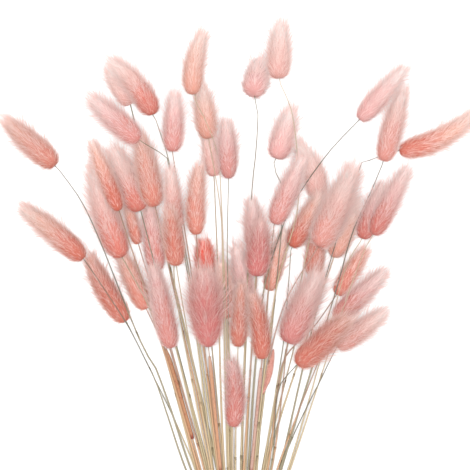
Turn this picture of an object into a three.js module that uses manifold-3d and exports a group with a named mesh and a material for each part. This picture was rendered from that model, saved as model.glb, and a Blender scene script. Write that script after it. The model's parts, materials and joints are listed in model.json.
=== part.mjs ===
// A tied bunch of dyed, dried bunny-tail grass, lying on a surface.
// Millimetres, +Z up. The stems run along +Y from the tie to the furry heads, which fan out to both
// sides. Each stalk, its cut stem and its head, is one piece, and a twine tie holds them together.
import * as THREE from 'three';
import Module from 'manifold-3d';
import { mergeVertices } from 'three/addons/utils/BufferGeometryUtils.js';

const wasm = await Module();
wasm.setup();

// Stems
const STEM_RADIUS_AT_TIE = 0.9;
const STEM_RADIUS_AT_HEAD = 0.6;
const STEM_SIDES = 4;
const STEM_SPANS = 9;
const TAIL_LENGTH = 46;
const TAIL_FLARE_SIDEWAYS = 1.45;
const TAIL_FLARE_UP = 1.12;

// Where the stems pass through the tie, in rows from the surface up
const STEMS_PER_ROW = [4, 6, 8, 8, 8, 7, 6, 4];
const STEM_PITCH = 2.2;
const ROW_PITCH = 2.12;
const TIE_HALF_WIDTH = 5;
const FAN_DISTANCE = 108;
const HALFWAY_DISTANCE = 49;
const HALFWAY_SHARE = 0.42;

// Heads, furry with pointed tufts that lean to the tip
const HEAD_SIDES = 8;
const HEAD_RINGS = 8;
const FIRST_RING_AT = 0.025;
const LAST_RING_AT = 0.93;
const WIDEST_POWER = 0.72;
const VALLEY_DEPTH = 0.86;
const TUFT_LEAN = 0.62;
const SOLID_WIDTH_SHARE = 1.04;
const TIP_RADIUS = 0.3;

// Dried leaf sheaths, swellings of a stem
const SHEATH_RADIUS = 1.7;

// How the stalks lie on each other
const CLEARANCE = 0.29;
const FLOOR_SINK = 0.5;
const STEP_ALONG = 1.5;
const SETTLING_ROUNDS = 500;
const SAG_PER_ROUND = 0.05;
const HEAD_FOLLOWS_STEM = 0.6;
const SHORT_ENOUGH = 0.004;

// Twine
const TWINE_RADIUS = 1.0;
const TWINE_TURNS = 4;
const TURN_PITCH = 1.84;
const TWINE_SEGMENTS = 18;
const TWINE_SINK = 0.15;
const KNOT_SIZE = [2.75, 2.2, 2.0];
const END_RADIUS = 0.85;
const END_SIDES = 6;
const END_PATHS = [
  [[0, 0, 0], [4, 3, 0.6], [9, 9, -1.2], [13, 14, -5]],
  [[0, 0, 0], [-4, -3, 0.6], [-9, -5, -1.2], [-13, -4, -5]],
];

// Colours
const COLOURS = {
  pale: 0xf0cdc3,
  pink: 0xeaada4,
  salmon: 0xe3a18c,
  coral: 0xe0806f,
  twine: 0xc9ac82,
};

// The stalks in the order in which they are laid, the lowest first. base and tip are the two ends of
// the head, width is its width with the fur, bend is how far its middle bows to the left of the line
// from base to tip, rise is how far its tip stands above its base, fan is the stem's sideways place at
// FAN_DISTANCE from the tie, via are places it passes through, and sheath is where a dried leaf wraps it.
const STALKS = [
  { tint: 'coral', base: [56, 243], tip: [62, 289], width: 18, fan: 22 },
  { tint: 'salmon', base: [72, 257], tip: [88, 303], width: 19, fan: 23.5 },
  { tint: 'coral', base: [-23, 225], tip: [-26, 272], width: 16, fan: -12 },
  { tint: 'pale', base: [-18, 318], tip: [-24, 357], width: 15, fan: -11, via: [[-15.5, 256]] },
  { tint: 'pale', base: [-81, 372], tip: [-98, 400], width: 17, fan: -18 },
  { tint: 'coral', base: [-75, 267], tip: [-85, 302], width: 12, fan: -28 },
  { tint: 'coral', base: [23, 232], tip: [36, 279], width: 15, fan: 15 },
  { tint: 'pink', base: [-61, 247], tip: [-67, 298], width: 19, fan: -25 },
  { tint: 'pink', base: [7, 215], tip: [-1, 267], width: 19, fan: 3 },
  {
    tint: 'salmon', base: [-69, 218], tip: [-89, 262], width: 18, fan: -31,
    via: [[-55, 188], [-44, 154]], sheath: [118, 186],
  },
  { tint: 'pale', base: [-87, 257], tip: [-108, 328], width: 24, bend: 3, fan: -34.5, via: [[-66, 217]] },
  {
    tint: 'salmon', base: [121, 337], tip: [179, 367], width: 19, bend: -6, fan: 34,
    via: [[104, 332], [91, 323]],
  },
  { tint: 'pale', base: [60, 301], tip: [43, 343], width: 20, bend: -4, fan: 20.5 },
  {
    tint: 'coral', base: [74, 229], tip: [97, 265], width: 16, fan: 24,
    via: [[57, 205], [36, 183], [30, 158]],
  },
  { tint: 'coral', base: [-8, 211], tip: [-13, 255], width: 17, fan: -5.5 },
  { tint: 'pale', base: [-73, 292], tip: [-94, 339], width: 24, fan: -26.5 },
  {
    tint: 'pink', base: [29, 331], tip: [40, 369], width: 21, fan: 14,
    via: [[26, 325], [32, 314], [32, 270]],
  },
  { tint: 'salmon', base: [-62, 295], tip: [-74, 350], width: 21, fan: -21 },
  {
    tint: 'salmon', base: [-22, 346], tip: [-28, 387], width: 19, fan: -8,
    via: [[-13, 292], [-11.5, 252]],
  },
  { tint: 'pink', base: [-74, 344], tip: [-111, 377], width: 21, fan: -20, via: [[-58, 335], [-51, 322]] },
  { tint: 'pale', base: [-63, 364], tip: [-96, 405], width: 20, bend: -3, fan: -17, via: [[-51, 326]] },
  { tint: 'coral', base: [40, 265], tip: [63, 306], width: 18, fan: 20.5, via: [[37, 225], [34, 192]] },
  { tint: 'pale', base: [60, 265], tip: [87, 324], width: 26, fan: 10.5, via: [[37, 227], [25, 188]] },
  {
    tint: 'pink', base: [11, 380], tip: [18, 405], width: 22, rise: -26, fan: 2.5,
    via: [[15, 366], [10, 300]],
  },
  {
    tint: 'pale', base: [109, 329], tip: [124, 385], width: 19, fan: 35.5,
    via: [[100, 307], [86, 276], [74, 234]],
  },
  { tint: 'pink', base: [-49, 336], tip: [-47, 381], width: 18, fan: -14 },
  { tint: 'pale', base: [-46, 277], tip: [-51, 325], width: 16, fan: -23, via: [[-48, 247], [-44, 214]] },
  {
    tint: 'coral', base: [-89, 292], tip: [-110, 345], width: 15, fan: -32.5,
    via: [[-82, 270], [-72, 240]],
  },
  { tint: 'pink', base: [14, 258], tip: [10, 301], width: 18, fan: 6 },
  {
    tint: 'pale', base: [30, 391], tip: [32, 433], width: 21, fan: 13,
    via: [[40, 367], [45, 322], [44, 289], [31, 245], [25, 210]],
  },
  {
    tint: 'pink', base: [91, 360], tip: [126, 400], width: 18, fan: 8.5,
    via: [[69, 337], [40, 295], [31, 273], [19, 230]],
  },
  { tint: 'pink', base: [27, 282], tip: [49, 333], width: 19, fan: 12 },
  { tint: 'salmon', base: [-31, 274], tip: [-28, 328], width: 17, bend: 2, fan: -16, via: [[-25, 189]] },
  {
    tint: 'salmon', base: [-34, 379], tip: [-25, 427], width: 18, bend: 3, fan: -7,
    via: [[-19, 347], [-13.5, 320]],
  },
  { tint: 'pink', base: [-7, 316], tip: [-9, 361], width: 16, fan: -4.5, via: [[-7.5, 298], [-8, 256]] },
  { tint: 'coral', base: [-22, 190], tip: [-26, 250], width: 25, fan: -14 },
  { tint: 'coral', base: [0, 190], tip: [3, 240], width: 16, fan: -2 },
  { tint: 'pink', base: [93, 271], tip: [109, 313], width: 18, fan: 41, via: [[82, 253], [76, 232]] },
  { tint: 'pink', base: [73, 211], tip: [111, 247], width: 19, fan: 33 },
  { tint: 'pink', base: [101, 274], tip: [127, 325], width: 18, fan: 42.5, via: [[93, 259]] },
  { tint: 'salmon', base: [-46, 251], tip: [-51, 295], width: 18, fan: -21, via: [[-40, 214]] },
  { tint: 'coral', base: [14, 243], tip: [17, 285], width: 21, fan: 5 },
  { tint: 'pink', base: [-50, 189], tip: [-64, 253], width: 19, fan: -28 },
  { tint: 'pale', base: [74, 190], tip: [111, 217], width: 19, fan: 35 },
  { tint: 'pale', base: [37, 193], tip: [61, 247], width: 26, fan: 27 },
  { tint: 'coral', base: [18, 181], tip: [10, 232], width: 17, bend: -2, fan: 11 },
  { tint: 'coral', base: [-84, 209], tip: [-113, 260], width: 19, bend: 2, fan: -36 },
  {
    tint: 'salmon', base: [-116, 256], tip: [-164, 296], width: 20, bend: -1, fan: -43,
    via: [[-84, 208], [-70, 181], [-61, 162]],
  },
  {
    tint: 'salmon', base: [-137, 326], tip: [-176, 361], width: 21, fan: -39,
    via: [[-118, 300], [-103, 268], [-86, 225], [-70, 187], [-61, 172]],
  },
  { tint: 'coral', base: [44, 177], tip: [83, 214], width: 22, bend: -1, fan: 26, via: [[31, 160]] },
  { tint: 'pink', base: [-4, 130], tip: [-6, 182], width: 17, bend: -3, fan: -4 },
];

const ROW_HEIGHTS = STEMS_PER_ROW.map((count, row) => (row - (STEMS_PER_ROW.length - 1) / 2) * ROW_PITCH);
const FURTHEST_SLOT = Math.max(
  ...STEMS_PER_ROW.map((count, row) => Math.hypot(((count - 1) / 2) * STEM_PITCH, ROW_HEIGHTS[row])),
);
const BUNDLE_RADIUS = FURTHEST_SLOT + STEM_RADIUS_AT_TIE;
const TWINE_INNER_RADIUS = (BUNDLE_RADIUS + CLEARANCE) / Math.cos(Math.PI / TWINE_SEGMENTS);
const BUNDLE_HEIGHT = TWINE_INNER_RADIUS + 2 * TWINE_RADIUS - TWINE_SINK;

// A head's radius, as a share of its greatest one, from its base at 0 to its tip at 1
function headProfile(along) {
  return Math.sqrt(Math.max(0, Math.sin(Math.PI * along ** WIDEST_POWER)));
}

function mix(a, b, share) {
  return a + (b - a) * share;
}

// Gives each stalk its place in the tie: rows fill from the surface up in the order of laying, and in
// each row the stems stand in the order in which they fan out.
function placeInTie(stalks) {
  let first = 0;
  STEMS_PER_ROW.forEach((count, row) => {
    const inRow = stalks.slice(first, first + count).sort((a, b) => a.fan - b.fan);
    inRow.forEach((stalk, place) => {
      stalk.slotX = (place - (count - 1) / 2) * STEM_PITCH;
      stalk.slotZ = ROW_HEIGHTS[row];
    });
    first += count;
  });
}

function stemRadius(stalk, y, share) {
  const plain = mix(STEM_RADIUS_AT_TIE, STEM_RADIUS_AT_HEAD, share);
  const inSheath = stalk.sheath && y > stalk.sheath[0] && y < stalk.sheath[1];
  return inSheath ? SHEATH_RADIUS : plain;
}

// The stalk's spine seen from above: three points through the tie, the stem's points up to the head's
// base, and the head's rings. Heights are found later.
function layOutFromAbove(stalk) {
  const through = [
    [stalk.slotX, TIE_HALF_WIDTH],
    [mix(stalk.slotX, stalk.fan, HALFWAY_SHARE), HALFWAY_DISTANCE],
    [stalk.fan, FAN_DISTANCE],
    ...(stalk.via ?? []).slice().reverse(),
    stalk.base,
  ];
  const curve = new THREE.CatmullRomCurve3(
    through.map(([x, y]) => new THREE.Vector3(x, y, 0)),
    false,
    'centripetal',
  );
  const spansBetween = Math.ceil(STEM_SPANS / (through.length - 1));
  const stem = curve.getPoints(spansBetween * (through.length - 1));
  const spine = [
    { x: stalk.slotX * TAIL_FLARE_SIDEWAYS, y: -TAIL_LENGTH, r: STEM_RADIUS_AT_TIE },
    { x: stalk.slotX, y: -TIE_HALF_WIDTH, r: STEM_RADIUS_AT_TIE },
  ];
  stem.forEach((point, i) => {
    spine.push({ x: point.x, y: point.y, r: stemRadius(stalk, point.y, i / (stem.length - 1)) });
  });
  stalk.baseIndex = spine.length - 1;
  const base = new THREE.Vector2(...stalk.base);
  const tip = new THREE.Vector2(...stalk.tip);
  const forward = tip.clone().sub(base);
  const left = new THREE.Vector2(-forward.y, forward.x).normalize();
  const bend = stalk.bend ?? 0;
  const radius = (stalk.width * SOLID_WIDTH_SHARE) / 2;
  for (let i = 0; i < HEAD_RINGS; i += 1) {
    const share = mix(FIRST_RING_AT, LAST_RING_AT, i / (HEAD_RINGS - 1));
    const bow = bend * 4 * share * (1 - share);
    const x = base.x + forward.x * share + left.x * bow;
    const y = base.y + forward.y * share + left.y * bow;
    spine.push({ x, y, r: radius * headProfile(share), share });
  }
  spine.push({ x: tip.x, y: tip.y, r: TIP_RADIUS, share: 1 });
  stalk.spine = spine;
}

// Sets every spine point's height from the stalk's free heights: one for each stem point past the tie
// and one for the head's tip. The head stays straight when seen from the side.
function setHeights(stalk) {
  const { spine, baseIndex, heights } = stalk;
  spine.forEach((point, i) => {
    if (i <= 2) {
      point.z = BUNDLE_HEIGHT + stalk.slotZ * (i === 0 ? TAIL_FLARE_UP : 1);
    } else if (i <= baseIndex) {
      point.z = heights[i];
    } else {
      point.z = mix(heights[baseIndex], heights[baseIndex + 1], point.share);
    }
  });
}

// The lowest height that a ball of radius r at x, y can have over the stalks laid before
function heightOver(x, y, r, laid) {
  let lowest = r - FLOOR_SINK;
  for (const stalk of laid) {
    const { minX, maxX, minY, maxY, spine } = stalk;
    if (x < minX - r || x > maxX + r || y < minY - r || y > maxY + r) {
      continue;
    }
    for (let i = 1; i < spine.length; i += 1) {
      const p = spine[i - 1];
      const q = spine[i];
      const length = Math.hypot(q.x - p.x, q.y - p.y) || 1e-6;
      const nearest = ((x - p.x) * (q.x - p.x) + (y - p.y) * (q.y - p.y)) / length ** 2;
      for (const shift of [-2, -1, 0, 1, 2]) {
        const u = Math.min(1, Math.max(0, nearest + shift / length));
        const apart = Math.hypot(mix(p.x, q.x, u) - x, mix(p.y, q.y, u) - y);
        const reach = r + mix(p.r, q.r, u) + CLEARANCE;
        if (apart < reach) {
          lowest = Math.max(lowest, mix(p.z, q.z, u) + Math.sqrt(reach ** 2 - apart ** 2));
        }
      }
    }
  }
  return lowest;
}

// Points close together along the stalk, each with the two free heights that set its own
function feelAlong(stalk, laid) {
  const { spine, baseIndex } = stalk;
  const feelers = [];
  for (let i = 3; i < spine.length; i += 1) {
    const p = spine[i - 1];
    const q = spine[i];
    const steps = Math.max(1, Math.ceil(Math.hypot(q.x - p.x, q.y - p.y) / STEP_ALONG));
    for (let s = 1; s <= steps; s += 1) {
      const u = s / steps;
      const lowest = heightOver(mix(p.x, q.x, u), mix(p.y, q.y, u), mix(p.r, q.r, u), laid);
      if (i <= baseIndex) {
        feelers.push({ low: i - 1, high: i, share: u, lowest });
      } else {
        feelers.push({ low: baseIndex, high: baseIndex + 1, share: mix(p.share ?? 0, q.share, u), lowest });
      }
    }
  }
  return feelers;
}

// Lifts the free heights until no point along the stalk is below what it lies on
function liftClear(heights, feelers, firstFree) {
  let worst = 0;
  for (const { low, high, share, lowest } of feelers) {
    const short = lowest - mix(heights[low], heights[high], share);
    if (short > 0) {
      const pullLow = low >= firstFree ? 1 - share : 0;
      const pullHigh = share;
      const total = pullLow ** 2 + pullHigh ** 2;
      heights[low] += (short * pullLow) / total;
      heights[high] += (short * pullHigh) / total;
      worst = Math.max(worst, short);
    }
  }
  return worst;
}

// Lays one stalk on the surface and on those laid before: its stem stays as straight as they let it,
// and it sinks until it rests.
function layDown(stalk, laid) {
  const { spine, baseIndex } = stalk;
  const firstFree = 3;
  const tipIndex = baseIndex + 1;
  const slot = BUNDLE_HEIGHT + stalk.slotZ;
  const heights = new Array(tipIndex + 1).fill(slot);
  stalk.heights = heights;
  const feelers = feelAlong(stalk, laid);
  const rise = stalk.rise ?? 0;
  const spans = spine.map((point, i) => {
    const before = spine[Math.max(0, i - 1)];
    return Math.hypot(point.x - before.x, point.y - before.y);
  });
  const headLength = Math.hypot(stalk.tip[0] - stalk.base[0], stalk.tip[1] - stalk.base[1]);
  spans[tipIndex] = headLength;
  for (let round = 0; round < SETTLING_ROUNDS; round += 1) {
    for (let i = firstFree; i < tipIndex; i += 1) {
      const share = spans[i] / (spans[i] + spans[i + 1]);
      const straight = mix(heights[i - 1], heights[i + 1] - (i === baseIndex ? rise : 0), share);
      heights[i] = mix(heights[i], straight, 0.5) - SAG_PER_ROUND;
    }
    const slope = (heights[baseIndex] - heights[baseIndex - 1]) / spans[baseIndex];
    const onward = heights[baseIndex] + slope * headLength * HEAD_FOLLOWS_STEM + rise;
    heights[tipIndex] = mix(heights[tipIndex], onward, 0.5) - SAG_PER_ROUND;
    liftClear(heights, feelers, firstFree);
  }
  for (let round = 0; round < 4 * SETTLING_ROUNDS; round += 1) {
    if (liftClear(heights, feelers, firstFree) < SHORT_ENOUGH) {
      break;
    }
  }
  setHeights(stalk);
  stalk.minX = Math.min(...spine.map((p) => p.x - p.r)) - CLEARANCE;
  stalk.maxX = Math.max(...spine.map((p) => p.x + p.r)) + CLEARANCE;
  stalk.minY = Math.min(...spine.map((p) => p.y - p.r)) - CLEARANCE;
  stalk.maxY = Math.max(...spine.map((p) => p.y + p.r)) + CLEARANCE;
}

// Two directions across the spine at a point: sideways, and up
function across(spine, i) {
  const before = spine[Math.max(0, i - 1)];
  const after = spine[Math.min(spine.length - 1, i + 1)];
  const along = new THREE.Vector3(after.x - before.x, after.y - before.y, after.z - before.z).normalize();
  const side = new THREE.Vector3(0, 0, 1).cross(along).normalize();
  return { side, up: along.clone().cross(side) };
}

// Builds one stalk as a closed solid: a slim stem whose last ring opens into the head, and a head whose
// surface is a lattice of diamonds, each raised to a tuft that leans to the tip.
function stalkGeometry(stalk) {
  const { spine, baseIndex } = stalk;
  const points = [];
  const triangles = [];
  const addPoint = (x, y, z) => {
    points.push(x, y, Math.max(0, z));
    return points.length / 3 - 1;
  };
  const pointAt = (i, angle, radius, shareOn) => {
    const { side, up } = across(spine, i);
    const next = spine[Math.min(spine.length - 1, i + 1)];
    const sideways = radius * Math.cos(angle);
    const upwards = radius * Math.sin(angle);
    const x = mix(spine[i].x, next.x, shareOn) + side.x * sideways + up.x * upwards;
    const y = mix(spine[i].y, next.y, shareOn) + side.y * sideways + up.y * upwards;
    const z = mix(spine[i].z, next.z, shareOn) + side.z * sideways + up.z * upwards;
    return addPoint(x, y, z);
  };
  const ring = (i, sides, radius, turn) => {
    const made = [];
    for (let k = 0; k < sides; k += 1) {
      made.push(pointAt(i, ((k + turn) * 2 * Math.PI) / sides, radius, 0));
    }
    return made;
  };

  const stemRings = spine.slice(0, baseIndex + 1).map((point, i) => ring(i, STEM_SIDES, point.r, 0));
  const cutEnd = stemRings[0];
  triangles.push([cutEnd[2], cutEnd[1], cutEnd[0]], [cutEnd[3], cutEnd[2], cutEnd[0]]);
  for (let i = 1; i < stemRings.length; i += 1) {
    for (let k = 0; k < STEM_SIDES; k += 1) {
      const next = (k + 1) % STEM_SIDES;
      triangles.push([stemRings[i - 1][k], stemRings[i - 1][next], stemRings[i][next]]);
      triangles.push([stemRings[i - 1][k], stemRings[i][next], stemRings[i][k]]);
    }
  }

  const firstRing = baseIndex + 1;
  const rings = [];
  for (let i = 0; i < HEAD_RINGS; i += 1) {
    rings.push(ring(firstRing + i, HEAD_SIDES, spine[firstRing + i].r * VALLEY_DEPTH, (i % 2) / 2));
  }
  const lastStem = stemRings[baseIndex];
  for (let k = 0; k < STEM_SIDES; k += 1) {
    const next = (k + 1) % STEM_SIDES;
    const middle = rings[0][2 * k + 1];
    triangles.push([lastStem[k], lastStem[next], middle]);
    triangles.push([lastStem[k], middle, rings[0][2 * k]]);
    triangles.push([lastStem[next], rings[0][(2 * k + 2) % HEAD_SIDES], middle]);
  }
  for (let j = 0; j < HEAD_SIDES; j += 1) {
    triangles.push([rings[0][j], rings[0][(j + 1) % HEAD_SIDES], rings[1][j]]);
  }
  for (let i = 0; i + 2 < HEAD_RINGS; i += 1) {
    for (let j = 0; j < HEAD_SIDES; j += 1) {
      const odd = i % 2;
      const bottom = rings[i][j];
      const left = rings[i + 1][odd ? j : (j + HEAD_SIDES - 1) % HEAD_SIDES];
      const right = rings[i + 1][odd ? (j + 1) % HEAD_SIDES : j];
      const top = rings[i + 2][j];
      const middle = firstRing + i + 1;
      const reach = mix(spine[middle].r, spine[middle + 1].r, TUFT_LEAN);
      const tuft = pointAt(middle, ((j + odd / 2) * 2 * Math.PI) / HEAD_SIDES, reach, TUFT_LEAN);
      triangles.push([bottom, right, tuft], [right, top, tuft], [top, left, tuft], [left, bottom, tuft]);
    }
  }
  const last = rings[HEAD_RINGS - 1];
  const beforeLast = rings[HEAD_RINGS - 2];
  const tip = spine[spine.length - 1];
  const tipPoint = addPoint(tip.x, tip.y, tip.z);
  for (let j = 0; j < HEAD_SIDES; j += 1) {
    const next = (j + 1) % HEAD_SIDES;
    triangles.push([beforeLast[next], last[next], last[j]]);
    triangles.push([last[j], last[next], tipPoint]);
  }
  return closedGeometry(points, triangles);
}

function closedGeometry(points, triangles) {
  const geometry = new THREE.BufferGeometry();
  geometry.setAttribute('position', new THREE.Float32BufferAttribute(points, 3));
  geometry.setIndex(triangles.flat());
  return geometry;
}

// The solid of a closed three.js geometry, for joining
function solidOf(geometry) {
  const bare = geometry.clone();
  bare.deleteAttribute('normal');
  bare.deleteAttribute('uv');
  const merged = mergeVertices(bare, 1e-4);
  return new wasm.Manifold(new wasm.Mesh({
    numProp: 3,
    vertProperties: new Float32Array(merged.attributes.position.array),
    triVerts: new Uint32Array(merged.index.array),
  }));
}

function geometryOf(solid) {
  const mesh = solid.getMesh();
  const geometry = new THREE.BufferGeometry();
  geometry.setAttribute('position', new THREE.BufferAttribute(new Float32Array(mesh.vertProperties), 3));
  geometry.setIndex(Array.from(mesh.triVerts));
  return geometry;
}

// The twine: turns side by side round the stems, a knot on top and its two short ends
function tieGeometry() {
  const outline = [];
  const halfBand = (TWINE_TURNS * TURN_PITCH) / 2;
  outline.push(new THREE.Vector2(TWINE_INNER_RADIUS, -halfBand));
  for (let turn = 0; turn < TWINE_TURNS; turn += 1) {
    const middle = -halfBand + (turn + 0.5) * TURN_PITCH;
    for (const angle of [-55, 0, 55]) {
      const swing = THREE.MathUtils.degToRad(angle);
      const out = TWINE_INNER_RADIUS + TWINE_RADIUS * (1 + Math.cos(swing));
      outline.push(new THREE.Vector2(out, middle + TWINE_RADIUS * Math.sin(swing)));
    }
  }
  outline.push(new THREE.Vector2(TWINE_INNER_RADIUS, halfBand));
  outline.push(outline[0].clone());
  const band = new THREE.LatheGeometry(outline, TWINE_SEGMENTS);

  const knot = new THREE.SphereGeometry(1, 8, 6);
  knot.scale(...KNOT_SIZE);
  const knotHeight = TWINE_INNER_RADIUS + KNOT_SIZE[2];
  knot.translate(0, 0, knotHeight);

  const round = new THREE.Shape();
  for (let k = 0; k < END_SIDES; k += 1) {
    const angle = (k * 2 * Math.PI) / END_SIDES;
    const corner = [END_RADIUS * Math.cos(angle), END_RADIUS * Math.sin(angle)];
    if (k === 0) {
      round.moveTo(...corner);
    } else {
      round.lineTo(...corner);
    }
  }
  round.closePath();
  let solid = solidOf(band).add(solidOf(knot));
  for (const places of END_PATHS) {
    const points = places.map(([x, y, z]) => new THREE.Vector3(x, y, knotHeight + z));
    const path = new THREE.CatmullRomCurve3(points);
    const end = new THREE.ExtrudeGeometry(round, { steps: 6, extrudePath: path, bevelEnabled: false });
    solid = solid.add(solidOf(end));
  }
  const geometry = geometryOf(solid);
  geometry.translate(0, 0, BUNDLE_HEIGHT);
  const position = geometry.attributes.position;
  for (let i = 0; i < position.count; i += 1) {
    position.setZ(i, Math.max(0, position.getZ(i)));
  }
  return geometry;
}

function meshOf(name, geometry, colour) {
  const material = new THREE.MeshStandardMaterial({ color: COLOURS[colour], roughness: 0.9, metalness: 0 });
  const mesh = new THREE.Mesh(geometry, material);
  mesh.name = name;
  return mesh;
}

const group = new THREE.Group();
placeInTie(STALKS);
const laid = [];
STALKS.forEach((stalk, i) => {
  layOutFromAbove(stalk);
  layDown(stalk, laid);
  laid.push(stalk);
  group.add(meshOf(`stalk_${String(i + 1).padStart(2, '0')}`, stalkGeometry(stalk), stalk.tint));
});
group.add(meshOf('twine_tie', tieGeometry(), 'twine'));

// The origin is on the surface, under the middle of the bunch
const box = new THREE.Box3().setFromObject(group);
const middle = box.getCenter(new THREE.Vector3());
group.position.set(-middle.x, -middle.y, -box.min.z);

export default group;
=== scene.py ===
"""A tied bunch of dyed, dried bunny tail grass, lying on a pale surface and seen from straight above.

Each stalk is one piece: a slim straw stem and a soft head. A head is a small core and thousands of fine
hairs, planted as copies of two hairs that are modelled once. The solids give each stem's line and each
head's place and width.
"""

import json
import math

import bmesh
import bpy
import numpy as np
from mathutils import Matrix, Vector


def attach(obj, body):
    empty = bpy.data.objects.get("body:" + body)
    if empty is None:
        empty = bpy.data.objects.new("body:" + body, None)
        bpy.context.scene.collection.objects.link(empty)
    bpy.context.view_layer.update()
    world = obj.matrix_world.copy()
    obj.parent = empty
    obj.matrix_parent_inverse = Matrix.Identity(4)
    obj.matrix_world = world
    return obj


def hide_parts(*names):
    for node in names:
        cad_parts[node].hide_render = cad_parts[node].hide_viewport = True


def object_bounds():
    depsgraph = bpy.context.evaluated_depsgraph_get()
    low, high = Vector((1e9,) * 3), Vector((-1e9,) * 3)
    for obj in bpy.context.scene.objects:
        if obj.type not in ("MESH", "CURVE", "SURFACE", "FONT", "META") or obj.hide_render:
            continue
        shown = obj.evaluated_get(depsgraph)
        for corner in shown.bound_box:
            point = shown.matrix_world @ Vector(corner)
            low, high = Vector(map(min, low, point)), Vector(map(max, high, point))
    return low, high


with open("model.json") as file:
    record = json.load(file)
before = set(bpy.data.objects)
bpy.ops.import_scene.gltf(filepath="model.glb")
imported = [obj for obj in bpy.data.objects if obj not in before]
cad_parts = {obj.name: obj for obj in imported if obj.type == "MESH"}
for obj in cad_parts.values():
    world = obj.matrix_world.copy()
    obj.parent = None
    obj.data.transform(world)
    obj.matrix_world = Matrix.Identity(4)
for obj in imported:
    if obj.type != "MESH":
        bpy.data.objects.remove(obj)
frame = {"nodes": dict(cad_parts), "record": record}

MM = 0.001
SEED = 4127

# The photograph's frame: where its middle is from the tie, and how much it spans at the height in focus
PICTURE_MIDDLE = (-2.25 * MM, 273.75 * MM)
PICTURE_SPAN = 352.5 * MM
CAMERA_HEIGHT = 6.0
HEIGHT_IN_FOCUS = 30 * MM

# Nothing is placed lower than this above the surface
LOWEST = 0.02 * MM

# How the solids are built: corners round a stem and round a head, and which ring is near a head's middle
SOLID_STEM_SIDES = 4
SOLID_HEAD_SIDES = 8
SOLID_MIDDLE_RING = 3
# Corners of a solid that are closer than this are one, and those lower than this lie on the surface
ONE_CORNER = 0.02 * MM
ON_SURFACE = 0.01 * MM
# How much wider a solid's tufts reach than its head's radius
SOLID_WIDTH_SHARE = 1.04

# Steps that a smooth curve takes from one of its points to the next
CURVE_STEPS = 12

# Stems: the straight straw's sides and rings, the steps in a stem's line, the radius in millimetres at shares
# of the length, how the size differs from stem to stem, and how far a stem runs on into its head
STEM_SIDES = 8
STEM_RINGS = 40
STEM_STEPS = 400
STEM_RADII = ((0.0, 1.1), (0.45, 0.9), (0.7, 0.56), (1.0, 0.36))
SLIM_RADII = ((0.0, 1.05), (0.42, 0.76), (0.7, 0.42), (1.0, 0.28))
STEM_SIZES = (0.88, 1.08)
STEM_IN_HEAD = 0.12

# A straw's joints, as shares of its length, the powers that shift them from stem to stem, and their size
JOINTS = (0.34, 0.66)
JOINT_SHIFTS = (0.85, 1.2)
JOINT_LENGTH = 0.012
JOINT_SWELLING = 1.18

# The hollow at a straw's cut end: its wall as a share of the radius, and its depth as a share of the length
STRAW_WALL = 0.35
HOLLOW_DEPTH = 0.004

# From the stems' cut ends to the tie
TAIL = 46 * MM

# A head is widest where its place from base to tip, raised to this power, is a half
WIDEST_POWER = 0.72
# The blunt heads: their power, how much plumper they are, and how long the hair at their tip is left
BLUNT_HEADS = {
    3: (1.4, 1.15, 0.7),
    36: (1.05, 1.2, 0.5),
    2: (0.85, 1.12, 0.8),
    35: (0.85, 1.12, 0.8),
    50: (0.8, 1.08, 0.8),
}
# A head counts as at least this many of its radii long
SHORTEST_HEAD = 2.2

# The core under the fur: its radius as a share of the head's along it, where it ends, and how uneven it is
CORE_SHARES = ((0.0, 0.93), (0.12, 0.86), (0.4, 0.72), (1.0, 0.7))
CORE_END = 0.95
CORE_UNEVEN = (0.98, 1.01)

# How far hairs may stand out of the box round the solids: sideways, at the ends, and above
HAIR_ROOM = (18 * MM, 21 * MM, 9.8 * MM)

# The bunch's hairs, which are shared out by the size of each head
HUSKS = 14000
FUR_HAIRS = 112000
WISPS = 7000
LONG_WISPS = 8000

# Where hairs are rooted: the places counted along a head, the last of them, how much closer the hairs stand
# where it is wide, how close they stand anywhere, and how far out in the core
ROOT_MARKS = 200
LAST_ROOT = 0.93
CLOSER_WHERE_WIDE = 0.7
CLOSE_ANYWHERE = 0.15
ROOT_DEPTHS = (0.9, 0.98)

# Hairs follow the core's slope, measured over a step along the head each way, up to a steepest slope where it
# widens and where it narrows, and only in part where it narrows
SLOPE_STEP = 0.012
STEEPEST_WIDENING = 3.0
STEEPEST_NARROWING = -1.1
NARROWING_SHARE = 0.8

# How each kind of hair lies: its lean out of the head in degrees (usual and spread), how that is eased along
# the head, its swerve to the side, and its thickness in millimetres
HUSK_LEAN = (26, 6)
HUSK_EASING = ((0, 0.5), (0.1, 1), (1, 1))
HUSK_SWERVE = 0.28
HUSK_THICKNESS = (0.14, 0.21)
FUR_LEAN = (25, 11)
FUR_EASING = ((0, 0.9), (0.12, 1), (0.65, 1), (1, 0.55))
FUR_SWERVE = 0.24
FUR_THICKNESS = (0.07, 0.11)
WISP_EASING = ((0, 0.8), (0.1, 1), (1, 1))
WISP_SWERVE = 0.22

# Lengths: husks in millimetres, with a curl inwards, and fur as shares of its depth, a share of the radius
HUSK_LENGTHS = (4.0, 7.0)
HUSK_CURL = 0.06
FUR_DEPTH = 0.74
FUR_LENGTHS = (0.45, 1.3)
# Some of the fur is coarser: how much of it, and by how much
COARSE_SHARE = 0.2
COARSER = 1.9
# Husks and fur end at the head's tip, give or take, but are no shorter than this on the head and at its tip
UNEVEN_TIP = 0.05
SHORTEST_HAIR = 1.5 * MM
SHORTEST_AT_TIP = 2.5 * MM
# How far wisps bend ahead and back towards the head, as shares of their length
WISP_BEND_AHEAD = (0.0, 0.2)
WISP_BEND_BACK = (-0.04, 0.1)
# A long hair stays nearly full halfway along
LONG_HAIR_FULLER = 1.85

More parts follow.
